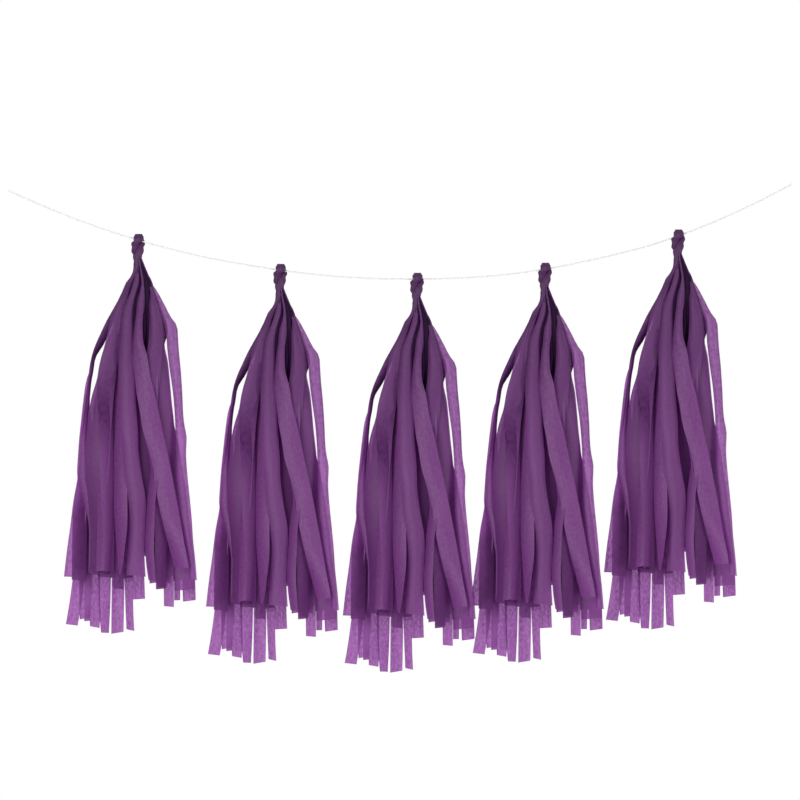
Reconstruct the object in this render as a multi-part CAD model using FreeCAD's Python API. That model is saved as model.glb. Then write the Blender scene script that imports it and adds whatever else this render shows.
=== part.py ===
"""Garland of five tissue paper tassels threaded on a string.

Each tassel is a folded sheet of tissue, cut into a fringe, gathered, twisted in the
middle and doubled over, so that the twisted rope makes an eye for the string and the
two ends hang together.  It is one solid: rope, gathered heading and fringe strips.

Frame: origin at the left cut end of the string, +X along the garland to its right end,
+Z up, -Y towards the viewer.  Millimetres.
"""
import FreeCAD, Part
import math
import os

Vec = FreeCAD.Vector

# ---- string --------------------------------------------------------------------------
STRING_DIAMETER = 1.2
ARC_SHARE = 0.45              # part of the shorter run that each bend's arc takes up

# Points of the string's route, (x, z).  Every third run carries a tassel at its middle.
STRING_ROUTE = [
    (0.0, 0.0), (30.0, -13.6), (61.0, -25.9), (93.0, -37.2),
    (135.0, -49.6), (176.0, -59.4), (217.3, -66.6), (259.3, -72.6),
    (298.5, -76.2), (338.0, -77.5), (378.0, -77.3), (414.0, -75.6),
    (450.0, -72.0), (490.0, -65.2), (528.0, -56.7), (565.5, -47.2),
    (607.5, -31.8), (634.0, -20.3), (660.5, -7.8), (686.0, 5.8),
]
TASSEL_RUNS = (3, 6, 9, 12, 15)

# ---- twisted rope: the eye over the string and its two crossed legs --------------------
EYE_CLEARANCE = 0.3           # between the string and the paper round it
ROPE_WIDTH = 10.2             # along the string, where the rope is pressed flat
ROPE_THICKNESS = 5.3
ROPE_SIDES = 10               # creased sides of the twisted paper
EYE_STEPS = 8
NECK_DROP = 18.0              # from the string's axis down to the neck
NECK_WIDTH = 6.4              # both legs together
LEG_DIAMETER = 4.4            # one leg at the neck
LEG_TURN = 270.0              # degrees that the legs turn about each other
LEG_STEPS = 6
LEG_CREASE_TURN = 12.0        # degrees that the creases wind on at each step

# ---- gathered heading: pleats that open from the neck to the first cuts ----------------
HEADING_HEIGHT = 16.0         # from the neck down to the first cuts
HEADING_WIDTH = 21.5
HEADING_LEAN = 1.4            # the heading hangs a little to the right of the eye
PLEATS = 18
PLEAT_DEPTH = 1.3             # crest to valley, at the cuts
DEPTH_RATIO = 0.72            # front to back against side to side

# ---- fringe ---------------------------------------------------------------------------
STRIP_WIDTH = 13.0
STRIP_THICKNESS = 0.5         # a few layers of tissue with the air between them
SHOULDER_WIDTH = 8.6          # a strip is still creased where it leaves the shoulder
PLEAT_WIDTH = 1.8             # and folded to this inside the heading
BURIED = 3.0                  # how far a strip runs up into the heading
HEM_SLANT = 1.0               # the hem's cut is this much out of square

# Levels of the bell of strips: drop below the string, then its reach to the left, to
# the right, and to the front and back.  A strip's own hem may end above or below HEM.
SHOULDER = (78.0, 27.0, 24.5, 22.0)
WAIST = (150.0, 44.0, 30.0, 30.0)
KNEE = (220.0, 56.0, 40.0, 36.0)
HEM = (300.0, 68.0, 53.0, 42.0)

# The strips, ring by ring.  A ring has its shares of the bell's reach in the heading and
# at the four levels; a strip has its bearings at the four levels, the drop of its hem
# and its turn out of the ring's face.  Bearings and turns are in degrees, with bearing 0
# at the front and 90 at the right side.
RINGS = [
    ((1.18, 1.24, 1.20, 1.05, 1.00), [       # two strips that stand off at the sides
        (-72, -66, -60, -53, 298, -12), (80, 76, 68, 63, 305, -15),
    ]),
    ((1.18, 1.15, 1.12, 1.10, 1.10), [       # one that hangs askew over the front
        (2, 17, 31, 39, 286, 0),
    ]),
    ((1.00, 1.00, 1.00, 1.00, 1.00), [
        (-52, -39, -28, -25, 290, 0), (-20, -13, -15, -14, 293, 0), (40, 24, -2, -1, 294, 0),
        (122, 124, 126, 128, 314, 0), (152, 156, 154, 153, 320, 0), (180, 182, 180, 178, 315, 0),
        (-160, -160, -163, -165, 343, 0), (-140, -141, -144, -146, 338, 0),
        (-116, -116, -116, -116, 336, 0),
    ]),
    ((0.80, 0.86, 0.91, 0.91, 0.91), [
        (-66, -69, -56, -43, 300, 0), (62, 58, 36, 23, 305, 0), (98, 97, 94, 92, 312, 0),
        (138, 138, 140, 141, 318, 0), (166, 166, 162, 158, 309, 0),
        (-170, -169, -173, -173, 339, 0), (-146, -148, -151, -152, 343, 0),
        (-121, -125, -129, -132, 331, 0), (-94, -98, -92, -84, 295, 0),
    ]),
    ((0.60, 0.62, 0.66, 0.66, 0.66), [
        (-74, -70, -64, -60, 329, 0), (-34, -32, -28, -24, 305, 0), (2, 0, -2, -5, 314, 0),
        (40, 40, 30, 20, 298, 0), (80, 80, 76, 72, 315, 0), (120, 120, 119, 118, 309, 0),
        (160, 161, 161, 160, 304, 0), (-156, -156, -157, -158, 330, 0),
        (-115, -114, -113, -112, 324, 0),
    ]),
    ((0.36, 0.34, 0.34, 0.34, 0.34), [
        (-20, -18, -16, -14, 318, 0), (52, 51, 50, 48, 300, 0), (124, 123, 121, 120, 306, 0),
        (-164, -163, -161, -160, 326, 0), (-92, -90, -87, -84, 316, 0),
    ]),
]


def string_path():
    """The string's centre line: straight runs joined by tangent arcs, with their radii."""
    points = [Vec(x, 0, z) for x, z in STRING_ROUTE]
    edges = []
    radii = []
    start = points[0]
    for before, corner, after in zip(points, points[1:], points[2:]):
        inward = (before - corner).normalize()
        outward = (after - corner).normalize()
        turn = math.pi - inward.getAngle(outward)
        run = min(before.distanceToPoint(corner), after.distanceToPoint(corner))
        tangent = ARC_SHARE * run
        radius = tangent / math.tan(turn / 2)
        to_centre = (inward + outward).normalize()
        middle = corner + to_centre * (radius / math.cos(turn / 2) - radius)
        arc_start = corner + inward * tangent
        arc_end = corner + outward * tangent
        edges.append(Part.LineSegment(start, arc_start).toShape())
        edges.append(Part.Arc(arc_start, middle, arc_end).toShape())
        radii.append(radius)
        start = arc_end
    edges.append(Part.LineSegment(start, points[-1]).toShape())
    return Part.Wire(edges), radii


def make_string():
    path, radii = string_path()
    start, onward = STRING_ROUTE[0], STRING_ROUTE[1]
    along = Vec(onward[0] - start[0], 0, onward[1] - start[1])
    section = Part.Wire(Part.Circle(Vec(start[0], 0, start[1]), along, STRING_DIAMETER / 2).toShape())
    tube = path.makePipeShell([section], True, False)
    print("string: bend radii", ", ".join("%.0f" % radius for radius in radii), "mm")
    print("string: length %.1f mm, volume %.2f, section x length %.2f"
          % (path.Length, tube.Volume, math.pi * STRING_DIAMETER ** 2 / 4 * path.Length))
    return tube


def tassel_seats():
    """Where each tassel hangs, with the string's direction there."""
    seats = []
    for run in TASSEL_RUNS:
        (x0, z0), (x1, z1) = STRING_ROUTE[run], STRING_ROUTE[run + 1]
        seats.append((Vec((x0 + x1) / 2, 0, (z0 + z1) / 2), Vec(x1 - x0, 0, z1 - z0).normalize()))
    return seats


def coplanar(a, b, c, d):
    return abs((b - a).cross(c - a).dot(d - a)) < 1e-6


def faceted(sections):
    """A closed solid through matching sections: flat sides, or pairs of flat triangles."""
    faces = [Part.Face(Part.makePolygon(end + end[:1])) for end in (sections[0], sections[-1])]
    for upper, lower in zip(sections, sections[1:]):
        for here in range(len(upper)):
            a, b, c, d = upper[here - 1], upper[here], lower[here], lower[here - 1]
            outlines = [[a, b, c, d]] if coplanar(a, b, c, d) else [[a, b, c], [a, c, d]]
            faces += [Part.Face(Part.makePolygon(outline + outline[:1])) for outline in outlines]
    shell = Part.Shell(faces)
    shell.sewShape()
    return Part.Solid(shell)


def rope_section(half_width, half_depth, crease_turn):
    """Corners of the rope's section about its middle, half_width along the string."""
    corners = []
    for side in range(ROPE_SIDES):
        angle = 2 * math.pi * side / ROPE_SIDES + math.radians(crease_turn)
        corners.append((half_width * math.cos(angle), half_depth * math.sin(angle)))
    return corners


def eye_offset():
    """From the string's axis to the middle of the rope over it."""
    return STRING_DIAMETER / 2 + EYE_CLEARANCE + ROPE_THICKNESS / 2


def rope_eye():
    """The rope's bend over the string, a half turn from the front leg to the back leg."""
    section = rope_section(ROPE_WIDTH / 2, ROPE_THICKNESS / 2, 0)
    sections = []
    for step in range(EYE_STEPS + 1):
        swing = math.pi * step / EYE_STEPS
        sections.append([
            Vec(x, -(eye_offset() - y) * math.cos(swing), (eye_offset() - y) * math.sin(swing))
            for x, y in section
        ])
    return faceted(sections)


def rope_leg(side):
    """One leg from the eye down to the neck, turning about the other; side is -1 or 1."""
    neck_offset = (NECK_WIDTH - LEG_DIAMETER) / 2
    sections = []
    for step in range(LEG_STEPS + 1):
        share = step / LEG_STEPS
        turn = math.radians(LEG_TURN * share)
        offset = side * (neck_offset + (eye_offset() - neck_offset) * (1 - share) ** 2)
        half_width = (ROPE_WIDTH + (LEG_DIAMETER - ROPE_WIDTH) * share ** 0.35) / 2
        half_depth = (ROPE_THICKNESS + (LEG_DIAMETER - ROPE_THICKNESS) * share) / 2
        middle = Vec(offset * math.sin(turn), offset * math.cos(turn), -NECK_DROP * share)
        section = rope_section(half_width, half_depth, LEG_CREASE_TURN * step)
        sections.append([middle + Vec(x, y, 0) for x, y in section])
    return faceted(sections)


def pleated_ring(drop, width, lean):
    """A level ring of pleats: crests and valleys in turn."""
    valley_share = 1 - 2 * PLEAT_DEPTH / HEADING_WIDTH
    corners = []
    for corner in range(2 * PLEATS):
        bearing = math.pi * corner / PLEATS
        reach = width / 2 * (1 if corner % 2 == 0 else valley_share)
        x, y = reach * math.sin(bearing), -reach * DEPTH_RATIO * math.cos(bearing)
        corners.append(Vec(lean + x, y, -drop))
    return corners


def gathered_heading():
    """The uncut heading, opening in pleats from the neck down to the cuts."""
    neck = pleated_ring(NECK_DROP - LEG_DIAMETER / 2, NECK_WIDTH, 0)
    cuts = pleated_ring(NECK_DROP + HEADING_HEIGHT, HEADING_WIDTH, HEADING_LEAN)
    return faceted([neck, cuts])


def bell_point(share, bearing, left, right, depth):
    """A point of the bell seen from above, at a share of its reach."""
    across = math.sin(math.radians(bearing))
    reach = right if across > 0 else left
    return share * reach * across, -share * depth * math.cos(math.radians(bearing))


def strip(shares, bearings, hem_drop, turn, hem_slant):
    """One strip: flat stretches from inside the heading over the shoulder to the hem."""
    opened = 1 - BURIED / HEADING_HEIGHT
    reach = opened * (HEADING_WIDTH / 2 - 2 * PLEAT_DEPTH)
    x, y = bell_point(shares[0], bearings[0], reach, reach, reach * DEPTH_RATIO)
    places = [Vec(x + HEADING_LEAN * opened, y, BURIED - NECK_DROP - HEADING_HEIGHT)]
    levels = (SHOULDER, WAIST, KNEE, (hem_drop,) + HEM[1:])
    for share, bearing, (drop, left, right, depth) in zip(shares[1:], bearings, levels):
        x, y = bell_point(share, bearing, left, right, depth)
        places.append(Vec(x, y, -drop))
    widths = (PLEAT_WIDTH, SHOULDER_WIDTH, STRIP_WIDTH, STRIP_WIDTH, STRIP_WIDTH)

    middle = math.radians(sum(bearings) / len(bearings))
    facing = math.atan2(WAIST[3] * math.sin(middle), WAIST[1] * math.cos(middle)) + math.radians(turn)
    across = Vec(math.cos(facing), math.sin(facing), 0)
    half_through = Vec(-math.sin(facing), math.cos(facing), 0) * (STRIP_THICKNESS / 2)
    hang = (places[-1] - places[-2]).normalize()
    sections = []
    for place, width in zip(places, widths):
        half_across = across * (width / 2)
        if place is places[-1]:
            half_across += hang * (hem_slant / 2)
        sections.append([
            place - half_across - half_through, place + half_across - half_through,
            place + half_across + half_through, place - half_across + half_through,
        ])
    return faceted(sections)


def fringe():
    strips = []
    for shares, rows in RINGS:
        for *bearings, hem_drop, turn in rows:
            slant = HEM_SLANT if len(strips) % 2 else -HEM_SLANT
            strips.append(strip(shares, bearings, hem_drop, turn, slant))
    return strips


def make_tassel():
    """One tassel about the string's axis, before the string's own way is cut through."""
    head = rope_eye().fuse([rope_leg(-1), rope_leg(1)])
    return head.fuse([gathered_heading()] + fringe()).removeSplitter()


def hang_tassel(tassel, seat, along):
    """The tassel at its seat, with a bore for the string as it slopes there."""
    placed = tassel.copy()
    placed.translate(seat)
    bore_radius = STRING_DIAMETER / 2 + EYE_CLEARANCE
    bore = Part.makeCylinder(bore_radius, 2 * ROPE_WIDTH, seat - along * ROPE_WIDTH, along)
    return placed.cut(bore)


def main():
    os.makedirs("parts", exist_ok=True)
    make_string().exportStep("parts/string.step")
    tassel = make_tassel()
    for number, (seat, along) in enumerate(tassel_seats(), 1):
        hung = hang_tassel(tassel, seat, along)
        print("tassel_%d: %d solid, volume %.0f mm3, valid %s"
              % (number, len(hung.Solids), hung.Volume, hung.isValid()))
        hung.exportStep("parts/tassel_%d.step" % number)


main()
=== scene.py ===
"""Looks of a garland of five purple tissue paper tassels on a white cotton string.

Each tassel is one sheet of tissue: cut into strips, rolled, twisted in the middle and
doubled over the string.  The sheet is dressed strip by strip over its solid, with the
twisted rope above it.  Metres, in the frame of the solids: +X along the garland, +Z up
and -Y towards the viewer.  The layout tables are in millimetres about the eye.
"""
import math

import bpy
import numpy as np
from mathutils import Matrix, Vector


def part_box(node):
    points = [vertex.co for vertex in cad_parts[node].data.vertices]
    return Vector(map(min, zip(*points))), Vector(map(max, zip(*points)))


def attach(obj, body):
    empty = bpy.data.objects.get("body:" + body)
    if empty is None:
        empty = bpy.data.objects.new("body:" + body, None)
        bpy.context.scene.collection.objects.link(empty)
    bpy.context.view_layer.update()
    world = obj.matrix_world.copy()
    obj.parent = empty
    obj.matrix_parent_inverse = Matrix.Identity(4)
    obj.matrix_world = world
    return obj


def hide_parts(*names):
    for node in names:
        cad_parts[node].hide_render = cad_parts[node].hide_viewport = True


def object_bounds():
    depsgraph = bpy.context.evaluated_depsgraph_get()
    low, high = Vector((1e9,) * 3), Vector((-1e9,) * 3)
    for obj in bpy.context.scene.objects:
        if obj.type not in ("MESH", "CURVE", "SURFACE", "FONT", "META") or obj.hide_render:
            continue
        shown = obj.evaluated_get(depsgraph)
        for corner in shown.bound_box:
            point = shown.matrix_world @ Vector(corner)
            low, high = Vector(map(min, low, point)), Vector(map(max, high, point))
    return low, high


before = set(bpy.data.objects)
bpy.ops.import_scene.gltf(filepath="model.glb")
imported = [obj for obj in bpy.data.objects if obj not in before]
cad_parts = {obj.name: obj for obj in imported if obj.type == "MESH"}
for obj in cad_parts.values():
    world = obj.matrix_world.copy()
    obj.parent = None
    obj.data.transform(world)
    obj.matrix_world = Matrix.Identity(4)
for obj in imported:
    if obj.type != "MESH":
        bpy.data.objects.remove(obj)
solid_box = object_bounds()

MM = 0.001
TASSELS = ["tassel_%d" % number for number in range(1, 6)]
EYE_FROM_RIGHT = 51.7 * MM         # from the right side of a tassel's box to its eye
EYE_FROM_TOP = 6.1 * MM            # from the top of a tassel's box to the string's axis

STRING_DIAMETER = 1.2 * MM
# The string's route, (x, z) in metres: its spline's control points.
STRING_ROUTE = [
    (0.0, 0.0), (0.030, -0.0136), (0.061, -0.0259), (0.093, -0.0372),
    (0.135, -0.0496), (0.176, -0.0594), (0.2173, -0.0666), (0.2593, -0.0726),
    (0.2985, -0.0762), (0.338, -0.0775), (0.378, -0.0773), (0.414, -0.0756),
    (0.450, -0.0720), (0.490, -0.0652), (0.528, -0.0567), (0.5655, -0.0472),
    (0.6075, -0.0318), (0.634, -0.0203), (0.6605, -0.0078), (0.686, 0.0058),
]


# ---- camera ---------------------------------------------------------------------------

# The view, in metres: how wide it is, how far in front of the string the camera stands, and
# how far its middle lies to the left of the garland's middle and below the garland's top.
VIEW_WIDTH = 0.700
VIEW_DISTANCE = 2.0
VIEW_TO_LEFT = 0.0003
VIEW_BELOW_TOP = 0.1895


def place_camera():
    """A level view square on to the garland, wide enough for it and a little margin."""
    low, high = solid_box
    camera = bpy.data.objects.new("camera", bpy.data.cameras.new("camera"))
    camera.data.type = "ORTHO"
    camera.data.ortho_scale = VIEW_WIDTH
    camera.location = ((low.x + high.x) / 2 - VIEW_TO_LEFT, -VIEW_DISTANCE,
                       high.z - VIEW_BELOW_TOP)
    camera.rotation_euler = (math.radians(90), 0, 0)
    bpy.context.collection.objects.link(camera)
    bpy.context.scene.camera = camera


# ---- string ---------------------------------------------------------------------------

def lay_string(material):
    """The string as one smooth line through its whole hanging curve."""
    curve = bpy.data.curves.new("string_cotton", "CURVE")
    curve.dimensions = "3D"
    spline = curve.splines.new("NURBS")
    spline.points.add(len(STRING_ROUTE) - 1)
    for point, (x, z) in zip(spline.points, STRING_ROUTE):
        point.co = (x, 0, z, 1)
    spline.order_u = 3
    spline.use_endpoint_u = True
    spline.resolution_u = 12
    curve.bevel_depth = STRING_DIAMETER / 2
    curve.bevel_resolution = 3
    curve.use_fill_caps = True
    string = bpy.data.objects.new("string_cotton", curve)
    bpy.context.collection.objects.link(string)
    curve.materials.append(material)
    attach(string, "root")
    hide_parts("string")


# ---- materials ------------------------------------------------------------------------

LIT_THROUGH = 0.28                 # share of the light that one layer of tissue lets glow
TISSUE_SHINE = 0.5                 # specular level of one layer by itself
FLOOR_PALER = 0.28                 # how much paler the eye sees the floor


def linear(hex_colour):
    """An sRGB colour such as "7e3f89" as linear red, green, blue and alpha."""
    shares = [int(hex_colour[at:at + 2], 16) / 255 for at in (0, 2, 4)]
    return [share / 12.92 if share <= 0.04045 else ((share + 0.055) / 1.055) ** 2.4
            for share in shares] + [1.0]


def add_node(tree, kind, settings=(), sockets=()):
    """Adds a node.  A socket is given a value, or another node's output to link."""
    made = tree.nodes.new(kind)
    for name, value in dict(settings).items():
        setattr(made, name, value)
    for name, value in dict(sockets).items():
        if isinstance(value, bpy.types.NodeSocket):
            tree.links.new(value, made.inputs[name])
        else:
            made.inputs[name].default_value = value
    return made


def new_material(name):
    """A material with no nodes yet, and its node tree."""
    material = bpy.data.materials.new(name)
    material.use_nodes = True
    material.node_tree.nodes.clear()
    return material, material.node_tree


def dyed_tissue():
    """Machine-made tissue, 17 g/m2, dyed purple: thin enough that one layer glows
    against the light and each further layer is darker, with cloudy fibre clumps.  It is
    painted darker as shade where strips lie in the shade of others, and greyer near the
    rope as a painted sheen."""
    material, tree = new_material("dyed_tissue_paper")
    paper = add_node(tree, "ShaderNodeTexCoord").outputs["UV"]
    # fibre clumps about 1.7 mm across and 3.4 mm along the strip
    clumped = add_node(tree, "ShaderNodeMapping", sockets={
        "Vector": paper, "Scale": (1 / (1.7 * MM), 1 / (3.4 * MM), 1.0)})
    clumps = add_node(tree, "ShaderNodeTexNoise", sockets={
        "Vector": clumped.outputs["Vector"], "Scale": 1.0, "Detail": 3.0, "Roughness": 0.6})
    # the machine direction's streaks: 2 mm wide and 30 mm long
    stretched = add_node(tree, "ShaderNodeMapping", sockets={
        "Vector": paper, "Scale": (1 / (2 * MM), 1 / (30 * MM), 1.0)})
    streaks = add_node(tree, "ShaderNodeTexNoise", sockets={
        "Vector": stretched.outputs["Vector"], "Scale": 1.0, "Detail": 2.0})
    # the streaks count about a third as much as the clumps
    cloudy = add_node(tree, "ShaderNodeMath", {"operation": "MULTIPLY_ADD"}, {
        0: streaks.outputs["Fac"], 1: 0.35, 2: clumps.outputs["Fac"]})
    thin = add_node(tree, "ShaderNodeMapRange", sockets={
        "Value": cloudy.outputs[0], "From Min": 0.48, "From Max": 0.88,
        "To Min": 0.03, "To Max": 0.39})
    # a thin place lets light by, yet what it gives back is about the same
    dye = add_node(tree, "ShaderNodeMix", {"data_type": "RGBA"}, {
        0: thin.outputs[0], 6: linear("74397b"), 7: linear("a054ac")})
    # where several layers are squeezed together the paper is darker and shuts out the
    # light, and the same darker colour, with less glow and gloss, is painted shade on
    # strips in the shade of others;
    # it comes in patches about 3 mm across and 6 mm long, where the crinkled layers touch
    crinkled = add_node(tree, "ShaderNodeMapping", sockets={
        "Vector": paper, "Scale": (1 / (3 * MM), 1 / (6 * MM), 1.0)})
    patches = add_node(tree, "ShaderNodeTexNoise", sockets={
        "Vector": crinkled.outputs["Vector"], "Scale": 1.0, "Detail": 2.0,
        "Roughness": 0.6})
    touch_and_shade_patches = add_node(tree, "ShaderNodeMapRange", sockets={
        "Value": patches.outputs["Fac"], "From Min": 0.3, "From Max": 0.7,
        "To Min": 0.86, "To Max": 1.1})
    press_and_shade_map = add_node(tree, "ShaderNodeAttribute", {"attribute_name": "pressed"})
    pressed = add_node(
        tree, "ShaderNodeMath", {"operation": "MULTIPLY", "use_clamp": True},
        {0: press_and_shade_map.outputs["Fac"], 1: touch_and_shade_patches.outputs[0]}).outputs[0]
    # the painted shade colour, also that of squeezed layers
    dye = add_node(tree, "ShaderNodeMix", {"data_type": "RGBA"}, {
        0: pressed, 6: dye.outputs[2], 7: linear("3e1748")})
    # towards the rope a grey is mixed into the dye, a painted sheen, by half near the rope
    # and fading out by 160 mm below the eye
    along = add_node(tree, "ShaderNodeSeparateXYZ", sockets={"Vector": paper})
    sheen_towards_rope = add_node(tree, "ShaderNodeMapRange", sockets={
        "Value": along.outputs["Y"], "From Min": 20 * MM, "From Max": 160 * MM,
        "To Min": 0.5, "To Max": 0.0})
    dye = add_node(tree, "ShaderNodeMix", {"data_type": "RGBA"}, {
        0: sheen_towards_rope.outputs[0], 6: dye.outputs[2], 7: linear("5c4064")})
    # less glow, less clear paper and less gloss where the paper is squeezed or painted in
    # shade
    loose_and_lit = add_node(tree, "ShaderNodeMath", {"operation": "SUBTRACT"}, {
        0: 1.0, 1: pressed})
    thin = add_node(tree, "ShaderNodeMath", {"operation": "MULTIPLY"}, {
        0: thin.outputs[0], 1: loose_and_lit.outputs[0]})
    lit_through = add_node(tree, "ShaderNodeMath", {"operation": "MULTIPLY"}, {
        0: loose_and_lit.outputs[0], 1: LIT_THROUGH})
    shine = add_node(tree, "ShaderNodeMath", {"operation": "MULTIPLY"}, {
        0: loose_and_lit.outputs[0], 1: TISSUE_SHINE})
    # crumpling a few millimetres across, left by the rolling and twisting
    crumple = add_node(tree, "ShaderNodeTexNoise", sockets={
        "Vector": paper, "Scale": 1 / (9 * MM), "Detail": 3.0, "Roughness": 0.55})
    relief = add_node(tree, "ShaderNodeBump", sockets={
        "Height": crumple.outputs["Fac"], "Distance": 0.8 * MM, "Strength": 0.5})
    face = add_node(tree, "ShaderNodeBsdfPrincipled", sockets={
        "Base Color": dye.outputs[2], "Roughness": 0.55, "IOR": 1.5,
        "Specular IOR Level": shine.outputs[0], "Normal": relief.outputs["Normal"]})
    glow = add_node(tree, "ShaderNodeBsdfTranslucent", sockets={
        "Color": linear("9554a2"), "Normal": relief.outputs["Normal"]})
    clear = add_node(tree, "ShaderNodeBsdfTransparent", sockets={"Color": linear("dd9cea")})
    fibres = add_node(tree, "ShaderNodeMixShader", sockets={
        0: lit_through.outputs[0], 1: face.outputs[0], 2: glow.outputs[0]})
    sheet = add_node(tree, "ShaderNodeMixShader", sockets={
        0: thin.outputs[0], 1: fibres.outputs[0], 2: clear.outputs[0]})
    add_node(tree, "ShaderNodeOutputMaterial", sockets={"Surface": sheet.outputs[0]})
    return material


def shaded_pressed_tissue(name, deep, pale, shine):
    """The same tissue with many layers squeezed together, wrung into the rope or gathered
    inside the heading: no light comes through, and its colour is darkened further as
    painted shade, for the rope's twisted creases and for the slits between the strips
    inside the heading.
    Fine creases run along it, about 1.1 mm across and 7 mm long, painted darker in their
    hollows."""
    material, tree = new_material(name)
    paper = add_node(tree, "ShaderNodeTexCoord").outputs["UV"]
    drawn = add_node(tree, "ShaderNodeMapping", sockets={
        "Vector": paper, "Scale": (1 / (1.1 * MM), 1 / (7 * MM), 1.0)})
    creases = add_node(tree, "ShaderNodeTexNoise", sockets={
        "Vector": drawn.outputs["Vector"], "Scale": 1.0, "Detail": 3.0, "Roughness": 0.6})
    # darker in the creases' hollows, where the bump is low: painted shade
    dye = add_node(tree, "ShaderNodeMix", {"data_type": "RGBA"}, {
        0: creases.outputs["Fac"], 6: linear(deep), 7: linear(pale)})
    relief = add_node(tree, "ShaderNodeBump", sockets={
        "Height": creases.outputs["Fac"], "Distance": 0.5 * MM, "Strength": 0.8})
    layers = add_node(tree, "ShaderNodeBsdfPrincipled", sockets={
        "Base Color": dye.outputs[2], "Roughness": 0.6, "IOR": 1.5,
        "Specular IOR Level": shine, "Normal": relief.outputs["Normal"]})
    add_node(tree, "ShaderNodeOutputMaterial", sockets={"Surface": layers.outputs[0]})
    return material


def cotton_thread():
    """Bleached cotton thread, softly matt.  Its twist is drawn 6 mm apart along the string,
    about four times as coarse as real thread, so that it shows at all."""
    material, tree = new_material("bleached_cotton_thread")
    place = add_node(tree, "ShaderNodeTexCoord").outputs["Object"]
    # at a scale of 1, diagonal bands lie 1 / 1.6 of a metre apart along the string
    twist = add_node(tree, "ShaderNodeTexWave", {"bands_direction": "DIAGONAL"}, {
        "Vector": place, "Scale": 1 / (6 * MM * 1.6), "Distortion": 1.0, "Detail": 2.0})
    # a touch darker in the twist's grooves, where the bump is low: painted shade
    shade = add_node(tree, "ShaderNodeMix", {"data_type": "RGBA"}, {
        0: twist.outputs["Fac"], 6: linear("e2e2e3"), 7: linear("eaeaeb")})
    relief = add_node(tree, "ShaderNodeBump", sockets={
        "Height": twist.outputs["Fac"], "Distance": 0.1 * MM, "Strength": 0.4})
    thread = add_node(tree, "ShaderNodeBsdfPrincipled", sockets={
        "Base Color": shade.outputs[2], "Roughness": 0.9, "IOR": 1.5,
        "Sheen Weight": 0.2, "Normal": relief.outputs["Normal"]})
    add_node(tree, "ShaderNodeOutputMaterial", sockets={"Surface": thread.outputs[0]})
    return material


def seen_straight(tree, share):
    """A share for what the eye sees straight, in a gloss or through clear paper, and none
    for the light that falls on the garland."""
    rays = add_node(tree, "ShaderNodeLightPath")
    seen = rays.outputs["Is Camera Ray"]
    for kind in ("Is Glossy Ray", "Is Transmission Ray"):
        seen = add_node(tree, "ShaderNodeMath", {"operation": "MAXIMUM"}, {
            0: seen, 1: rays.outputs[kind]}).outputs[0]
    return add_node(tree, "ShaderNodeMath", {"operation": "MULTIPLY"}, {
        0: seen, 1: share}).outputs[0]


def painted_floor():
    """Matt pale paint, slightly uneven in patches about 170 mm across, six to the metre."""
    material, tree = new_material("matt_pale_floor")
    place = add_node(tree, "ShaderNodeTexCoord").outputs["Object"]
    uneven = add_node(tree, "ShaderNodeTexNoise", sockets={"Vector": place, "Scale": 6.0})
    shade = add_node(tree, "ShaderNodeMix", {"data_type": "RGBA"}, {
        0: uneven.outputs["Fac"], 6: linear("e8e7e6"), 7: linear("efeeed")})
    paint = add_node(tree, "ShaderNodeBsdfPrincipled", sockets={
        "Base Color": shade.outputs[2], "Roughness": 0.85, "IOR": 1.5})
    # the eye sees it paler, without any more light on the garland
    paler = add_node(tree, "ShaderNodeEmission", sockets={
        "Color": shade.outputs[2], "Strength": seen_straight(tree, FLOOR_PALER)})
    seen = add_node(tree, "ShaderNodeAddShader", sockets={
        0: paint.outputs[0], 1: paler.outputs[0]})
    add_node(tree, "ShaderNodeOutputMaterial", sockets={"Surface": seen.outputs[0]})
    return material


# ---- how the strips hang --------------------------------------------------------------

# The bell that the strips hang in, by drop below the eye: its reach to the left, to the
# right and to the front and back.  Millimetres.
BELL = [
    (13, 4.2, 3.2, 2.0), (20, 4.8, 4.0, 2.4), (28, 7.0, 8.8, 3.8), (36, 14.5, 14.5, 7.5),
    (50, 22, 24, 12), (78, 36, 38, 20), (97, 43, 41, 24), (121, 50, 44, 27),
    (150, 55, 47, 30), (190, 60, 51, 34), (220, 63, 55, 36), (260, 69, 59, 39),
    (300, 76, 65, 42), (345, 80, 70, 43),
]
# How far the body of the fringe reaches to the left and to the right, without the two
# strips that stand off at its sides.
BODY = [
    (13, 3.6, 2.2), (20, 4.0, 2.6), (28, 4.9, 5.5), (36, 10, 8.6), (50, 15.5, 13.5),
    (78, 24, 20.5), (93, 27.6, 20.6), (105, 31.4, 23.5), (121, 35, 26),
    (150, 42.5, 28.8), (170, 46, 32), (190, 49, 36.5), (220, 53, 41), (260, 59, 45.5),
    (300, 62, 49), (345, 64, 50),
]
# How far a strip is opened out from its creases, as a share of its width.
OPENED = [
    (13, 0.10), (34, 0.24), (55, 0.50), (78, 0.74), (97, 0.95), (115, 1.0), (345, 1.0),
]

# How dark a strip is painted, by drop, for layers squeezed together and for the shade that
# it
# lies in: hanging free, behind a front strip's end, lying among others, clasped in the
# bundle at the left shoulder, close under it, and lying against others in front.
FREE = [(13, 0), (345, 0)]
BEHIND = [(13, 0.1), (190, 0.3), (230, 0.8), (300, 0.7), (345, 0)]
AMONG = [(13, 0.22), (300, 0.22), (310, 0.1), (345, 0.1)]
CLASPED_AND_SHADED = [
    (13, 0.3), (40, 0.6), (62, 0.82), (98, 0.87), (112, 0.4), (140, 0), (345, 0),
]
CLOSE = [
    (13, 0.2), (70, 0.3), (100, 0.55), (150, 0.55), (190, 0.25), (235, 0.6), (345, 0.65),
]
TOUCHING_AND_SHADED = [
    (13, 0.25), (70, 0.3), (97, 0.52), (130, 0.38), (180, 0.22), (240, 0.4), (300, 0.2),
]
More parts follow.
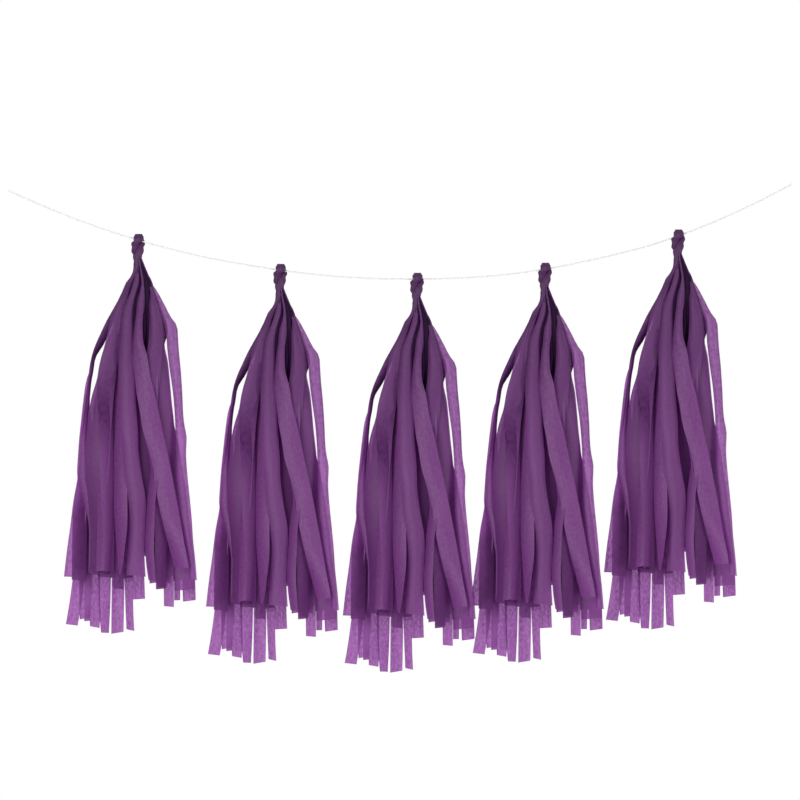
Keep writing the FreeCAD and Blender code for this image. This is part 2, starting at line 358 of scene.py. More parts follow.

# The strips that have a place of their own.  Each has the layer that it lies in at the
# heading, below it and at the hem (a share of the bell's depth, in front if positive), its
# width, the side that turns back (-1 left, 1 right, 0 neither, or one above and one below),
# its left and right edge at each drop, and how dark it is painted, for squeezed layers and
# for shade, if not as those that lie among others.  Flutter and mottling go by the order,
# so a new strip goes last.
PLACED = [
    # the five broad strips over the front
    ((1.00, 1.00, 0.95), 14.5, 1, [
        (13, -3.6, -1.8), (22, -4.5, -1.8), (29, -5.3, -2.2), (38, -11.7, -6.6),
        (44, -14, -9.4), (50, -16.6, -12.3), (57, -20, -14.0), (66, -24, -15.4),
        (80, -27, -16.6), (92, -29.8, -18.0), (105, -33.3, -19.3), (121, -36.2, -21.5),
        (150, -35.5, -21.9), (190, -34, -22), (220, -33, -21.6), (250, -31, -21.2),
        (290, -30.4, -21.6)],
     [(13, 0.3), (44, 0.87), (62, 0.35), (97, 0.45), (150, 0.9), (190, 0.32), (290, 0.2)]),
    ((1.00, 1.00, 1.00), 16.5, 0, [
        (13, -2.0, 0.3), (22, -2.6, 0.9), (30, -3.4, 1.6), (38, -5.2, 0.5),
        (45, -7.4, -1.8), (52, -10.2, -3.6), (59, -13, -4.7), (68, -14.9, -4.8),
        (76, -15.5, -4.3), (97, -17.6, -4.4), (121, -17.4, -3.2), (140, -16.8, -2.4),
        (165, -15.6, -0.7), (182, -14.5, -0.2), (207, -12.5, 2.8), (222, -9.6, 5.6),
        (252, -8, 5.8), (270, -9.5, 5.0), (293.6, -10.7, 6.2)], TOUCHING_AND_SHADED),
    ((1.02, 1.02, 1.12), 14.6, -1, [
        (13, -0.4, 1.2), (22, 0.2, 1.8), (30, 1.7, 3.6), (36, 2.6, 4.4), (43, 1.5, 5.0),
        (50, -0.6, 5.3), (57, -1.7, 5.2), (66, -2.5, 3.8), (73, -3.6, 3.4), (80, -4.2, 3.5),
        (90, -5.4, 4.3), (99, -5.9, 6.9), (106, -5.2, 8.2), (121, -3.3, 10.6),
        (136, -1.5, 14.6), (148, 0.8, 17.2), (165, 3.5, 20.6), (180, 7.7, 23.8),
        (194, 11.5, 27), (218, 15.2, 31.6), (245, 20.7, 36.6), (267, 26.3, 40.3),
        (287, 31.5, 44.0)], FREE),
    ((-0.20, 0.97, 0.80), 14, 1, [
        (13, 0.4, 1.8), (20, 1.6, 3.2), (27, 4.9, 6.8), (36, 9.2, 11.8), (46, 9.6, 14.0),
        (57, 9.2, 16), (68, 9.4, 19.0), (80, 9.1, 21.2), (90, 8.4, 21.2), (99, 7.0, 20.8),
        (108, 5.6, 20), (121, 5.0, 19.0), (140, 5.5, 17.5), (165, 6.5, 18.5),
        (200, 11, 23.5), (250, 13.5, 25), (305, 15.2, 23.8)],
     [(13, 0.25), (70, 0.3), (97, 0.52), (130, 0.38), (190, 0.4), (235, 0.65), (305, 0.6)]),
    ((0.20, 0.88, 0.45), 13, 1, [
        (13, 0.6, 1.8), (22, 2.2, 3.8), (34, 6.5, 9.3), (57, 13, 18), (68, 15, 21),
        (80, 15.5, 22.3), (93, 14.8, 22.9), (106, 15, 25.6), (121, 15.6, 27.2),
        (140, 16, 28.9), (157, 17.8, 30.8), (172, 19.4, 32), (200, 22, 34),
        (223, 25.5, 35.5), (250, 28, 37), (285, 31, 40)], TOUCHING_AND_SHADED),
    # the strips that stand off at the left and at the right
    ((0.75, 0.75, 0.80), 16, (1, 0), [
        (13, -3.4, -2.4), (29, -5.6, -3.4), (47, -15.4, -10.5), (60, -21.9, -16.5),
        (68, -26.8, -21), (80, -32.6, -25.4), (92, -38.0, -31), (101, -41.0, -36.8),
        (115, -43.2, -39.6), (121, -45.3, -40.8), (140, -48.4, -42.8), (157, -50.3, -45),
        (173, -52, -44.5), (190, -53.2, -43), (205, -53.8, -41.5), (220, -50.6, -39),
        (230, -47.8, -39), (240, -45.4, -40), (249, -43.4, -41.2), (262, -43.2, -41.4),
        (291, -44, -41)], CLASPED_AND_SHADED),
    ((-0.30, 0.90, 1.25), 12.5, 0, [
        (13, 0.6, 1.8), (18, 1.0, 2.4), (24, 3, 5.0), (30, 5.2, 7.9), (39, 9.0, 12.2),
        (44, 12.4, 16), (51, 14.8, 19.8), (58, 16, 23.6), (68, 19.6, 28.8), (72, 21.6, 32),
        (76, 22.8, 33.9), (80, 23.6, 34.2), (97, 25.2, 35.3), (115, 27.4, 37),
        (131, 29.7, 38.1), (161, 32, 40), (172, 32.3, 42.0), (178, 32.4, 41.9),
        (184, 32.4, 41.6), (207, 32.8, 42.9), (224, 34.4, 44.6), (245, 36.4, 46.6),
        (262, 39.3, 47.7), (280, 43.3, 49.6), (297, 44.5, 51.0)],
     [(13, 0.2), (60, 0.2), (75, 0.33), (150, 0.3), (200, 0), (297, 0)]),
    # the left side
    ((0.85, 0.85, 0.85), 13, -1, [
        (13, -3.2, -2.0), (29, -4.8, -3), (36, -9, -6), (60, -19, -13), (80, -24, -15),
        (95, -30.6, -19), (110, -34.6, -23), (121, -36.4, -25), (136, -40.9, -28.5),
        (160, -44.5, -31.5), (190, -46.5, -34), (205, -46.5, -34.2), (220, -46.5, -35),
        (231, -45.6, -35.4), (242, -44.6, -36), (252, -43.6, -36.2), (270, -43.6, -36),
        (292, -44, -36)], CLOSE),
    ((0.30, 0.30, 0.30), 13, (1, -1), [
        (13, -3.4, -2.4), (29, -5.4, -3.4), (50, -16.6, -12), (68, -26.6, -21.5),
        (80, -32.4, -26), (92, -37.8, -31.6), (101, -40.9, -37.0), (121, -44.4, -41),
        (140, -47.6, -43), (157, -49.6, -43), (175, -51.4, -41.5), (211, -54, -42),
        (226, -56.8, -44.5), (250, -59.8, -47), (270, -62.6, -49.8), (294.5, -65.4, -52.6)],
     CLASPED_AND_SHADED),
    ((0.45, 0.45, 0.45), 13.5, 1, [
        (13, -3.2, -2.2), (29, -5.2, -3.2), (50, -15.8, -11), (68, -26.2, -20.5),
        (80, -32.2, -25.6), (92, -37.4, -31), (101, -40.7, -36.9), (121, -44, -40.9),
        (140, -46.4, -42.6), (157, -48.6, -41.5), (190, -51, -39.5), (211, -53.6, -41),
        (226, -56, -43.5), (240, -57.5, -45), (260, -58, -45.4), (297.6, -58.6, -46.2)],
     CLASPED_AND_SHADED[:-1] + [(218, 0), (238, 0.55), (298, 0.6)]),
    ((0.80, 0.80, 1.08), 8, -1, [
        (13, -3.0, -2), (29, -4.4, -2.6), (38, -9, -6), (78, -21, -13), (121, -30, -20),
        (165, -33, -24), (200, -34.4, -26), (220, -35.6, -28.4), (245, -36, -29),
        (270, -36.6, -29.8), (289.5, -37, -30.2)],
     [(13, 0.4), (40, 0.8), (110, 0.9), (170, 0.4), (225, 0), (345, 0)]),
    # seen at the front's lower half
    ((0.30, 0.30, 1.16), 12.5, -1, [
        (13, -2.6, -1.2), (29, -4, -1.2), (38, -7, -3), (60, -14.5, -8.5), (80, -17, -8),
        (97, -19.2, -9), (121, -21.5, -10), (165, -21.8, -10.2), (200, -21.8, -10.2),
        (232, -21.6, -9.8), (250, -20.7, -10.0), (268, -19.4, -11.8), (282, -18.2, -13.6),
        (292, -17.2, -15.6)], FREE),
    ((0.60, 0.60, 0.60), 9.5, 0, [
        (13, -2, -0.8), (34, -5, -2.5), (78, -14, -7), (121, -19, -11), (190, -21, -12),
        (250, -21.5, -12.4), (305, -22.2, -13.4)], BEHIND),
    ((-0.20, -0.20, -0.20), 11, 0, [
        (13, -1.4, 0.6), (34, -2, 1.5), (78, -5, 3), (121, -5, 4.5), (190, -5, 5.6),
        (250, -5, 5.2), (293, -5, 5.0), (314, -5.2, 5.7)]),
    # the right side
    ((0.20, 0.80, 1.02), 9, -1, [
        (13, 0.2, 1.2), (34, 8, 10), (57, 11, 14), (78, 12, 16), (121, 9, 17), (165, 9, 17),
        (180, 10.6, 18), (194, 11.6, 19), (205, 10.2, 18), (213, 9, 17), (220, 8.1, 15.6),
        (245, 6.4, 14), (270, 5.6, 13.4), (285, 6.8, 14.2), (298, 8.6, 14.9)]),
    ((-0.30, -0.30, -0.30), 12, 1, [
        (13, 0.6, 1.8), (34, 7, 10), (48, 12.5, 15.5), (60, 16, 20.5), (72, 18.5, 24.6),
        (82, 19, 25.4), (88, 17, 23.6), (93, 15, 22.2), (106, 15.5, 24.5),
        (121, 16.5, 26.3), (150, 18.5, 29), (190, 25, 36), (250, 34, 45), (292, 37, 48)],
     [(13, 0.2), (48, 0.9), (92, 0.9), (112, 0.3), (292, 0.1)]),
    ((-0.50, -0.30, 0.40), 9, 0, [
        (13, 0.2, 1.2), (34, 4, 7), (78, 12, 18), (93, 13, 20), (121, 16, 24),
        (150, 18, 27), (190, 21, 30), (250, 21.5, 30.4), (300, 21.9, 30.8),
        (320.5, 22.1, 30.9)]),
    ((-0.70, -0.70, -0.70), 11, 1, [
        (13, 0.4, 1.4), (34, 5, 8), (78, 14, 19.5), (93, 14, 20.5), (121, 19, 25.5),
        (150, 22, 29), (190, 27, 35), (250, 30, 37), (300, 30.9, 36.6), (315, 31.1, 36.3)]),
    ((-0.30, -0.30, -0.30), 12, 1, [
        (13, 0.6, 1.6), (34, 6, 8.5), (78, 15, 20.5), (93, 14.5, 21.5), (121, 18, 26.2),
        (150, 19.5, 29), (190, 26, 37), (250, 34, 45), (300, 38.2, 49.6),
        (315.5, 38.8, 50.0)]),
    ((-0.20, 0.40, 0.30), 13.5, 1, [
        (13, 0.6, 1.6), (34, 6, 8.6), (78, 15, 20.6), (93, 14, 21.4), (121, 17, 26.3),
        (150, 18.5, 29.2), (190, 24, 37), (250, 31.0, 44.5), (290, 31.4, 49.2),
        (306, 31.8, 49.6)]),
    # the long strips at the back, whose hems show below the front ones
    ((-0.50, -0.50, -0.50), 11.2, 0, [
        (13, -3.2, -2.0), (29, -4.6, -3), (38, -9, -6.5), (78, -21, -14), (100, -28, -19),
        (121, -33, -23), (150, -38.5, -28), (190, -44, -33.5), (220, -48, -37.5),
        (260, -53.5, -43), (300, -58.2, -47.6), (317, -60.5, -49.9),
        (336.5, -63.7, -53.3)]),
    ((-0.35, -0.35, -0.35), 10.5, 0, [
        (13, -3, -1.8), (29, -4.2, -2.6), (38, -8, -5.6), (78, -19, -12.5),
        (121, -30, -20.5), (150, -36, -26), (190, -42, -32), (250, -48.5, -38.5),
        (300, -52.0, -41.0), (331, -51.6, -42.4)]),
    ((-0.80, -0.80, -0.80), 10, 1, [
        (13, -2.2, -1), (34, -5, -2.6), (78, -15, -9), (121, -25, -17), (190, -37, -30),
        (250, -44, -37.5), (300, -47.2, -41.8), (333, -47.6, -42.4)]),
    # one more behind the front's fourth strip
    ((-0.40, -0.40, -0.40), 9, -1, [
        (13, 0.2, 1.2), (34, 3, 6), (78, 9, 15), (121, 11, 18), (190, 14, 22),
        (250, 15.2, 23.8), (303.5, 15.8, 23.4)]),
    # more of the long strips at the back
    ((-0.85, -0.85, -0.85), 9.5, 0, [
        (13, -2, -1), (34, -5.5, -3), (78, -17, -10.5), (121, -27, -18), (190, -37, -28),
        (250, -42, -33), (300, -43.4, -33.8), (330, -42.8, -33.6), (338.5, -42.6, -34.2)]),
    ((-0.70, -0.70, -0.70), 11.5, 1, [
        (13, -1.6, -0.6), (34, -4.5, -2.3), (78, -13, -7.5), (121, -22, -14),
        (190, -30, -20), (250, -34.9, -24), (300, -35.2, -24.2), (325, -34.6, -25),
        (343.5, -32.8, -26)]),
    ((-0.90, -0.90, -0.90), 10.8, 0, [
        (13, -1.4, 0), (34, -3, -0.6), (78, -9, -3), (121, -15, -6), (190, -20, -10),
        (250, -23.5, -12), (300, -23.6, -12.4), (343.5, -23.9, -13.2)]),
    ((-0.75, -0.75, -0.75), 9, -1, [
        (13, -0.8, 0.4), (34, -2, 0.6), (78, -7, -0.5), (121, -9, -2), (190, -11.5, -4.2),
        (250, -12.2, -4.8), (296, -12.4, -4.9), (314, -11.8, -4.8), (330, -11.1, -4.4),
        (341, -10.7, -3.8)]),
    # the one seen deep in the gap at the front, painted half in shade
    ((0.10, 0.30, 0.60), 11, 0, [
        (13, -1, 0.4), (34, -1, 2), (78, -2, 4), (121, -2, 6), (150, -1, 8.5), (190, 0, 11),
        (230, 1, 12), (262, 2, 11.5)], [(13, 0.5), (262, 0.5)]),
]

TURN_ABOVE, TURN_BELOW = 110, 150  # the side that turns back changes between these drops
LAYER_ABOVE, LAYER_BELOW = 30, 55  # and the layer in the heading between these
EVENED_ROWS = 5                    # rows over which a turn back is evened out

STRIPS = 80                        # 50 cm of sheet in 12.5 mm strips, at both of its ends
STRIP_ROWS = 58
STRIP_COLUMNS = 8
STRIPS_SEED = 17

BACK_STRIPS = 26                   # in two layers round the back
BACK_REACH = 0.96                  # how far round to each side they go
BACK_INNER_LAYER = 0.78            # how deep the inner of the two hangs
BACK_SEED = 29
INWARD = 0.97                      # no filling strip hangs further across than this share
OVAL = 0.8                         # how much the strips follow the bell round at its sides
DRIFT_FROM, DRIFT_OVER = 90, 200   # a strip at the back drifts aside from this drop on
NEAR_HEMS = 280.0                  # the drop at which the hidden hems are looked up
# The lowest hem, by how far across it hangs, that stays behind the placed strips.
HIDDEN_HEM = [
    (-60, 288), (-53, 294), (-13, 296), (-8, 286), (2, 284), (4, 264), (9, 264),
    (12, 290), (16, 300), (30, 302), (34, 298), (44, 298), (50, 290),
]

FLUTTER_FROM, FLUTTER_OVER = 70, 90  # a strip begins to sway and twist at this drop
PLACED_FLUTTER = 0.45              # a placed strip does so less, as a share
PLACED_PLEAT, HIDDEN_PLEAT = 0.12, 1.3  # the deepest that a strip is pleated
CURL, CURLED = 2.5, 14             # the most that a hem curls, and over what length
SLANT, SLANTED = 0.9, 10           # the most that a hem is cut at a slant, and over what
FULL_TURN = 6.3                    # a wave starts anywhere in it, in radians
PAPER_STEP = 17.0                  # from one strip's paper to the next one's


def smooth(table, column, at):
    """A smooth line through one column of a table, whose first column is the drop."""
    rows = np.array(table, float)
    drops, values = rows[:, 0], rows[:, column]
    slopes = np.gradient(values, drops)
    before = np.clip(np.searchsorted(drops, at, side="right") - 1, 0, len(drops) - 2)
    after = before + 1
    step = drops[after] - drops[before]
    t = np.clip((at - drops[before]) / step, 0, 1)
    return ((1 + 2 * t) * (1 - t) ** 2 * values[before]
            + t * (1 - t) ** 2 * step * slopes[before]
            + t * t * (3 - 2 * t) * values[after]
            + t * t * (t - 1) * step * slopes[after])


def side_reach(table, x, drops):
    """How far a table reaches to the side of the axis that x is on."""
    return np.where(x < 0, smooth(table, 1, drops), smooth(table, 2, drops))


def placed_strip(layers, width, turned, edges, pressed=AMONG):
    """Centre line and half chord of a strip that the layout places, row by row, with its
    width and how dark it is painted, for squeezed layers and for shade."""
    drops = np.linspace(edges[0][0], edges[-1][0], STRIP_ROWS)
    if isinstance(turned, tuple):
        turned = np.interp(drops, [TURN_ABOVE, TURN_BELOW], turned)
    left, right = smooth(edges, 1, drops), smooth(edges, 2, drops)
    x, half_x = (left + right) / 2, (right - left) / 2
    layer = np.interp(drops, [LAYER_ABOVE, LAYER_BELOW, drops[-1]], layers)
    off_axis = np.clip(x / side_reach(BELL, x, drops), -0.98, 0.98)
    y = -layer * smooth(BELL, 3, drops) * np.sqrt(1 - off_axis ** 2)
    half_chord = width / 2 * smooth(OPENED, 1, drops)
    half_y = (turned * np.sqrt(np.maximum(half_chord ** 2 - half_x ** 2, 0))
              * np.sign(layers[1]))
    half_y = np.convolve(np.pad(half_y, EVENED_ROWS // 2, "edge"),
                         np.ones(EVENED_ROWS) / EVENED_ROWS, "valid")
    return drops, x, y, half_x, half_y, width, np.interp(drops, *zip(*pressed))


def filling_strip(across, deep, hem_drop, width, opened=1.0, turn=0.0, drift=0.0,
                  pressed=0.2):
    """The same for a strip inside the fringe or at its back.  How far across and how deep
    it hangs are shares of the fringe's body and of the bell's depth."""
    drops = np.linspace(BELL[0][0], hem_drop, STRIP_ROWS)
    half_chord = opened * width / 2 * smooth(OPENED, 1, drops)
    bearing = math.atan2(across, deep)
    slope = math.atan2(-OVAL * math.sin(bearing), math.cos(bearing)) + turn
    half_x, half_y = half_chord * abs(math.cos(slope)), half_chord * math.sin(slope)
    half_y = half_y * (1 if math.cos(slope) > 0 else -1)
    drifted = drift * np.clip((drops - DRIFT_FROM) / DRIFT_OVER, 0, 1)
    across = np.clip(across + drifted, -INWARD, INWARD)
    room = np.maximum(side_reach(BODY, across, drops) - half_x, 0.5)
    y = deep * smooth(BELL, 3, drops)
    return drops, across * room, y, half_x, half_y, width, np.full(STRIP_ROWS, pressed)


def filling_strips(rng, count):
    """The strips that no one sees whole: two layers round the back, the rest inside,
    painted a little darker as shade.  At the back each is bent, turned and darkened in its
    own way, so that it shows."""
    own_way = np.random.default_rng(BACK_SEED)
    strips = []
    for number in range(count):
        at_back = {}
        if number < BACK_STRIPS:
            outer = number % 2
            place = number // 2 + 0.5 * outer
            across = -BACK_REACH + 2 * BACK_REACH * place / ((BACK_STRIPS - 1) / 2)
            layer = own_way.uniform(0.9, 1.0) if outer else BACK_INNER_LAYER
            deep = math.sqrt(1 - min(across ** 2, 0.97)) * layer
            at_back = {"opened": own_way.uniform(0.72, 0.92),
                       "turn": own_way.uniform(-0.4, 0.4),
                       "drift": own_way.uniform(-0.10, 0.10),
                       "pressed": own_way.uniform(0.05, 0.45)}
        else:
            across = rng.uniform(-0.9, 0.9)
            deep = rng.uniform(0.05, 0.6)
        reach = side_reach(BODY, np.array([across]), np.array([NEAR_HEMS]))[0]
        lowest = np.interp(across * reach, *zip(*HIDDEN_HEM))
        strips.append(filling_strip(across, deep, lowest - rng.uniform(0, 9),
                                    rng.uniform(12, 14), **at_back))
    return strips


def arch(chord, width, deepest):
    """Half angle and rise of a strip that is bent round like a gutter to fit its chord."""
    # from nearly flat to a little more than a half circle
    half_angles = np.linspace(0.35, 1.75, 40)
    shortened = np.sin(half_angles) / half_angles
    angle = np.interp(chord / width, shortened[::-1], half_angles[::-1])
    radius = chord / 2 / np.where(angle < math.pi / 2, np.sin(angle), 1.0)
    return angle, np.minimum(radius * (1 - np.cos(angle)), deepest)


def ripple(rng, drops, heights, lengths):
    """A wave down a strip, whose height, length and start are its own."""
    return rng.uniform(*heights) * np.sin(
        drops / rng.uniform(*lengths) + rng.uniform(0, FULL_TURN))


def ribbon(rng, drops, x, y, half_x, half_y, width, pressed, number):
    """Vertices of one strip, bent round above and fluttering below, with their paper
    coordinates and how dark they are painted, for squeezed layers and for shade."""
    placed = number < len(PLACED)
    from_hem = drops - drops[-1]
    chord = 2 * np.hypot(half_x, half_y)
    outward = (np.array([half_y, -half_x]) / np.maximum(chord / 2, 0.05)
               * (1 if y[-1] < 0 else -1))
    hanging = (np.clip((drops - FLUTTER_FROM) / FLUTTER_OVER, 0, 1)
               * (PLACED_FLUTTER if placed else 1.0))
    angle, rise = arch(chord, width, 0.5 * smooth(BELL, 3, drops))
    # width that the chord has no room for goes into shallow pleats
    waves = rng.choice([1.5, 2.0, 2.5])
    spare = np.clip(width / np.maximum(chord, 0.5) - 1, 0, 3)
    pleat = np.minimum(chord / (math.pi * waves) * np.sqrt(spare),
                       0.05 * np.maximum(drops - 10, 1))
    pleat = np.minimum(pleat, PLACED_PLEAT if placed else HIDDEN_PLEAT)
    sway = ripple(rng, drops, (0.3, 0.9), (9, 17)) + ripple(rng, drops, (0.2, 0.5), (4, 7))
    twist = ripple(rng, drops, (0.3, 1.0), (8, 20))
    curl = rng.uniform(-CURL, CURL) * np.clip((from_hem + CURLED) / CURLED, 0, 1) ** 2
    phase = rng.uniform(0, FULL_TURN)
    slant = rng.uniform(-SLANT, SLANT) * np.clip((from_hem + SLANTED) / SLANTED, 0, 1)
    places, paper = [], []
    for column in range(STRIP_COLUMNS + 1):
        u = column / STRIP_COLUMNS
        side = 2 * u - 1
        across = np.sin(angle * side) / np.where(angle < math.pi / 2, np.sin(angle), 1.0)
        out = (pleat * np.sin(2 * math.pi * waves * u + phase)
               + hanging * (sway + twist * side) + curl
               - rise * (1 - np.cos(angle * side)) / (1 - np.cos(angle)))
        places.append(np.stack([x + across * half_x + out * outward[0],
                                y + across * half_y + out * outward[1],
                                -drops + slant * side], axis=1))
        paper.append(np.stack([np.full_like(drops, number * PAPER_STEP + u * width), drops],
                              axis=1))
    places = np.stack(places, axis=1)
    if placed:
        # its outermost points lie on the edges that the layout gives it
        seen = places[:, :, 0]
        low, high = seen.min(axis=1)[:, None], seen.max(axis=1)[:, None]
        left, span = (x - half_x)[:, None], 2 * half_x[:, None]
        places[:, :, 0] = left + (seen - low) / (high - low) * span
    return places, np.stack(paper, axis=1), pressed


# ---- rope and heading -----------------------------------------------------------------

ROPE_WIDTH = 9.8
ROPE_THICKNESS = 5.3
EYE_RADIUS = 0.9                   # half the string's thickness, and the room round it
EYE_OFFSET = EYE_RADIUS + ROPE_THICKNESS / 2
# The two legs wind round each other: drop, turned so far (degrees), off the axis, middle's
# x, half width, half depth.
LEGS = [
    (0, 0, EYE_OFFSET, 0.5, 5.3, 2.65), (3, 50, 3.0, -0.5, 4.1, 2.6),
    (6, 90, 2.3, -0.7, 3.6, 2.4), (10, 135, 2.2, -0.8, 4.2, 2.1),
    (14, 180, 1.7, -1.0, 4.5, 1.9), (18, 205, 1.6, -1.3, 2.9, 1.9),
    (22, 210, 1.9, -0.8, 2.8, 1.7), (28, 215, 2.5, -1.2, 2.8, 1.6),
    (35, 220, 3.0, -2.6, 1.8, 1.2),
]
ROPE_SIDES = 40
LEG_STATIONS = 40                  # down each leg
EYE_STATIONS = 25                  # and over the string, with the two ends that they share
WINDING = 0.16                     # how far the creases wind in a millimetre, in radians
ROPE_PAPER = 4                     # millimetres of paper to a radian round the rope
PAPER_SLANT = 0.6                  # and how far that shifts in a millimetre along it

# The pleated roll inside the heading, near black, a dark sheet of painted shade behind the
# slits
# between the front strips: drop, and its reach to the left, to the right and to the front
# and back.
CORE = [
    (12, 3.0, 2.2, 1.8), (18, 3.6, 2.4, 2.2), (24, 4.4, 4.6, 3.2), (30, 5.2, 7.8, 4.6),
    (36, 8.6, 11.5, 6.6), (42, 10.6, 13.0, 8.4), (50, 13, 13.2, 10), (60, 15, 14.4, 12),
    (78, 17.5, 15.4, 15), (90, 17, 13, 15), (102, 12, 9, 10), (112, 2, 2, 2),
]
CORE_CORNERS = 72                  # four to a pleat: two out and two in
CORE_PLEAT = 0.14                  # how deep the pleats are, as a share of the reach
CORE_PLEATED = 16                  # the drop over which they grow to that
CORE_PAPER = 9                     # millimetres of paper to a radian round it


def leg_station(side, drop):
    """One leg at one drop: middle, direction towards the string, half width and half
    thickness.  The side is -1 for the front leg and 1 for the back one."""
    turn, offset, middle_x, half_width, half_depth = [
        smooth(LEGS, column, drop) for column in range(1, 6)]
    turn = math.radians(turn)
    middle = np.array([side * offset * math.sin(turn) + middle_x,
                       side * offset * math.cos(turn), -drop])
    return middle, np.array([0, -side, 0]), half_width, half_depth


def rope_stations():
    """The whole rope, up its front leg, over the string and down its back leg."""
    drops = np.linspace(0, LEGS[-1][0], LEG_STATIONS)
    stations = [leg_station(-1, drop) for drop in drops[::-1]]
    for swing in np.linspace(0, math.pi, EYE_STATIONS)[1:-1]:
        inward = np.array([0, math.cos(swing), -math.sin(swing)])
        stations.append((-EYE_OFFSET * inward, inward, ROPE_WIDTH / 2, ROPE_THICKNESS / 2))
    return stations + [leg_station(1, drop) for drop in drops]


def twisted_rope():
    """The rope's skin: an oval tube with sharp creases that wind along it."""
    stations = rope_stations()
    angles = np.linspace(0, 2 * math.pi, ROPE_SIDES + 1)
    places, paper = [], []
    run, before = 0.0, stations[0][0]
    for middle, inward, half_width, half_depth in stations:
        run += float(np.linalg.norm(middle - before))
        before = middle
        winding = angles + run * WINDING
        # five deep creases and fourteen fine ones, which wander, round an uneven rope
        deep = 0.20 * np.abs(np.sin(2.5 * winding + 0.4)) ** 0.7
        fine = 0.05 * np.abs(np.sin(7 * winding + 1.3 * math.sin(run / 3)))
        folds = 1 - deep - fine + 0.02 * math.sin(run * 1.3)
        across = half_width * folds * np.cos(angles)
        through = half_depth * folds * np.sin(angles)
        places.append(middle + np.outer(across, [1, 0, 0]) + np.outer(through, inward))
        paper.append(np.stack([angles * ROPE_PAPER + run * PAPER_SLANT,
                               np.full_like(angles, run)], axis=1))
    return np.array(places), np.array(paper), np.zeros(len(places))


def heading_core():
    """The inner layers, which the strips' tops lie on, squeezed into sharp pleats and
    coloured
    near black: painted shade that fills the slits between the front strips.
    """
    bearing = np.linspace(0, 2 * math.pi, CORE_CORNERS + 1)
    folded_in = np.arange(CORE_CORNERS + 1) % 4 // 2
    places, paper = [], []
    for drop, left, right, depth in CORE:
        fold = 1 - CORE_PLEAT * folded_in * min(1, (drop - CORE[0][0]) / CORE_PLEATED)
        reach = np.where(np.sin(bearing) < 0, left, right) * fold
        level = np.full(CORE_CORNERS + 1, float(drop))
        places.append(np.stack([reach * np.sin(bearing), -depth * fold * np.cos(bearing),
                                -level], axis=1))
        paper.append(np.stack([bearing * CORE_PAPER, level], axis=1))
    return np.array(places), np.array(paper), np.zeros(len(places))


# ---- tassels --------------------------------------------------------------------------

STRIP, ROPE, INSIDE_SHADE = range(3)     # the tassel's materials, in this order


def grid_mesh(name, grids, materials):
    """One mesh of several grids of points, each with its paper coordinates, how dark each
    row is painted for squeezed layers and for shade, and its material."""
    points, faces, paper, tightness, slots = [], [], [], [], []
    for places, coordinates, pressed, slot in grids:
        rows, columns = places.shape[:2]
        tightness.append(np.repeat(pressed, columns))
        first = sum(len(block) for block in points)
        points.append(places.reshape(-1, 3) * MM)
        index = first + np.arange(rows * columns).reshape(rows, columns)
        quads = np.stack([index[:-1, :-1], index[1:, :-1], index[1:, 1:], index[:-1, 1:]],
                         axis=-1)
        faces.append(quads.reshape(-1, 4))
        paper.append(coordinates.reshape(-1, 2) * MM)
        slots.append(np.full(len(faces[-1]), slot))
    points, faces, paper = [np.concatenate(blocks) for blocks in (points, faces, paper)]
    mesh = bpy.data.meshes.new(name)
    mesh.from_pydata(points.tolist(), [], faces.tolist())
    layer = mesh.uv_layers.new(name="paper")
    layer.data.foreach_set("uv", paper[faces.reshape(-1)].reshape(-1))
    mesh.attributes.new("pressed", "FLOAT", "POINT").data.foreach_set(
        "value", np.concatenate(tightness))
    mesh.polygons.foreach_set("material_index", np.concatenate(slots))
    mesh.polygons.foreach_set("use_smooth", np.ones(len(faces), bool))
    for material in materials:
        mesh.materials.append(material)
    mesh.update()
    return mesh


def tassel_mesh(materials):
    """The whole sheet: its strips, the layers inside the heading, and the rope."""
    rng = np.random.default_rng(STRIPS_SEED)
    strips = [placed_strip(*strip) for strip in PLACED]
    strips += filling_strips(rng, STRIPS - len(strips))
    grids = [ribbon(rng, *strip, number) + (STRIP,) for number, strip in enumerate(strips)]
    grids.append(heading_core() + (INSIDE_SHADE,))
    grids.append(twisted_rope() + (ROPE,))
    return grid_mesh("tissue_tassel", grids, materials)


def hang_tassels(mesh):
    """One tassel over each solid, with its eye on the string."""
    for node in TASSELS:
        low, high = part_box(node)
        tassel = bpy.data.objects.new(node + "_tissue", mesh)
        tassel.location = (high.x - EYE_FROM_RIGHT, 0, high.z - EYE_FROM_TOP)
        bpy.context.collection.objects.link(tassel)
        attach(tassel, "root")
        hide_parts(node)


# ---- floor and light ------------------------------------------------------------------

FLOOR_REACH = 6.0                  # to each side of the garland, in metres
FLOOR_BELOW = 1.0                  # below the longest strip
ROOM_LIGHT = 0.28                  # strength of the white room's light on the garland
# Each lamp's place (along from the garland's middle, back from the string, and up from
# the middle), and its width, in metres, and its power in watts.
LAMPS = {
    "key_lamp": ((-0.8, -1.8, 0.1), 0.9, 26.5),
    "fill_lamp": ((1.5, -1.5, -0.1), 0.9, 16.5),
    "back_lamp": ((-0.4, 2.0, 0.3), 1.2, 25.0),
}


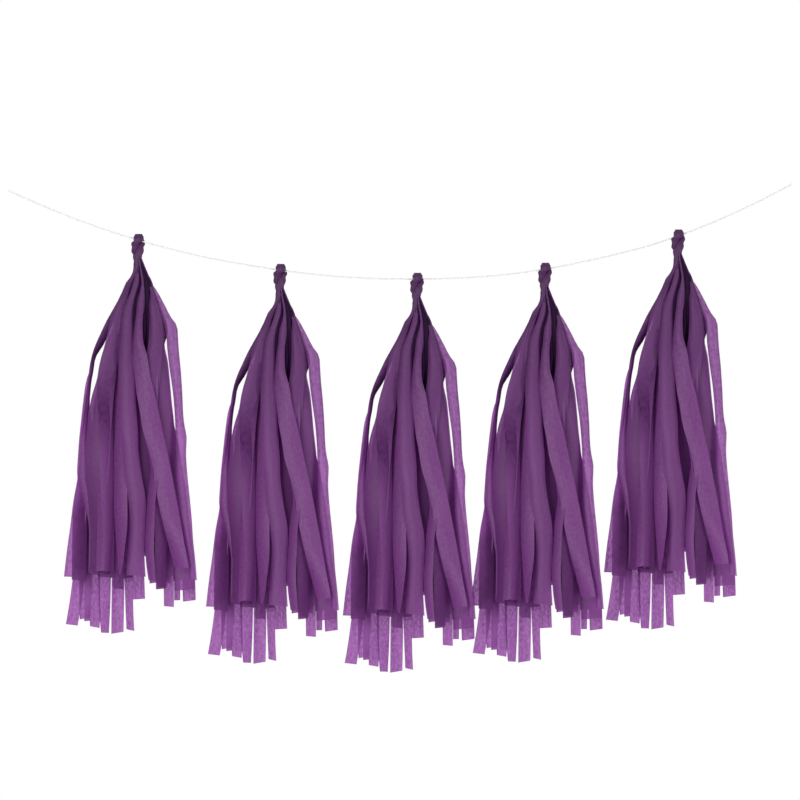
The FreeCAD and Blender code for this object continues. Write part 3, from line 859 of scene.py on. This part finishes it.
def lay_floor(material):
    """A wide level floor, well below the garland."""
    low, high = solid_box
    middle, level = (low.x + high.x) / 2, low.z - FLOOR_BELOW
    mesh = bpy.data.meshes.new("floor")
    corners = [(middle + x * FLOOR_REACH, y * FLOOR_REACH, level)
               for x, y in ((-1, -1), (1, -1), (1, 1), (-1, 1))]
    mesh.from_pydata(corners, [], [(0, 1, 2, 3)])
    mesh.materials.append(material)
    floor = bpy.data.objects.new("floor", mesh)
    bpy.context.collection.objects.link(floor)


def light_room():
    """An even white room: the eye sees plain white, and the light from it is softer."""
    world = bpy.data.worlds.new("white_room")
    bpy.context.scene.world = world
    world.use_nodes = True
    tree = world.node_tree
    tree.nodes.clear()
    lit = add_node(tree, "ShaderNodeBackground", sockets={
        "Color": linear("ffffff"), "Strength": ROOM_LIGHT})
    white = add_node(tree, "ShaderNodeBackground", sockets={
        "Color": linear("ffffff"), "Strength": 1.0})
    room = add_node(tree, "ShaderNodeMixShader", sockets={
        0: seen_straight(tree, 1.0), 1: lit.outputs[0], 2: white.outputs[0]})
    add_node(tree, "ShaderNodeOutputWorld", sockets={"Surface": room.outputs[0]})


def hang_lamps():
    """Three soft square lamps, each turned to the garland's middle."""
    low, high = solid_box
    middle = (low + high) / 2
    for name, ((along, depth, up), size, power) in LAMPS.items():
        lamp = bpy.data.lights.new(name, "AREA")
        lamp.size = size
        lamp.energy = power
        held = bpy.data.objects.new(name, lamp)
        place = Vector((middle.x + along, depth, middle.z + up))
        held.location = place
        held.rotation_euler = (middle - place).to_track_quat("-Z", "Y").to_euler()
        bpy.context.collection.objects.link(held)


def main():
    """The view and the string come first, then the tassels, the floor and the light."""
    place_camera()
    lay_string(cotton_thread())
    # darker than the strips' dye: the dense twisted paper, and painted shade in its creases
    rope = shaded_pressed_tissue("twisted_tissue_rope", "311537", "5a3061", 0.3)
    # near black inside the heading: painted shade for the slits between the strips
    inside = shaded_pressed_tissue("tissue_layers_inside_painted_shade", "180420", "2a0a33", 0.1)
    hang_tassels(tassel_mesh([dyed_tissue(), rope, inside]))
    lay_floor(painted_floor())
    light_room()
    hang_lamps()
    bpy.context.scene.view_settings.view_transform = "Standard"


main()
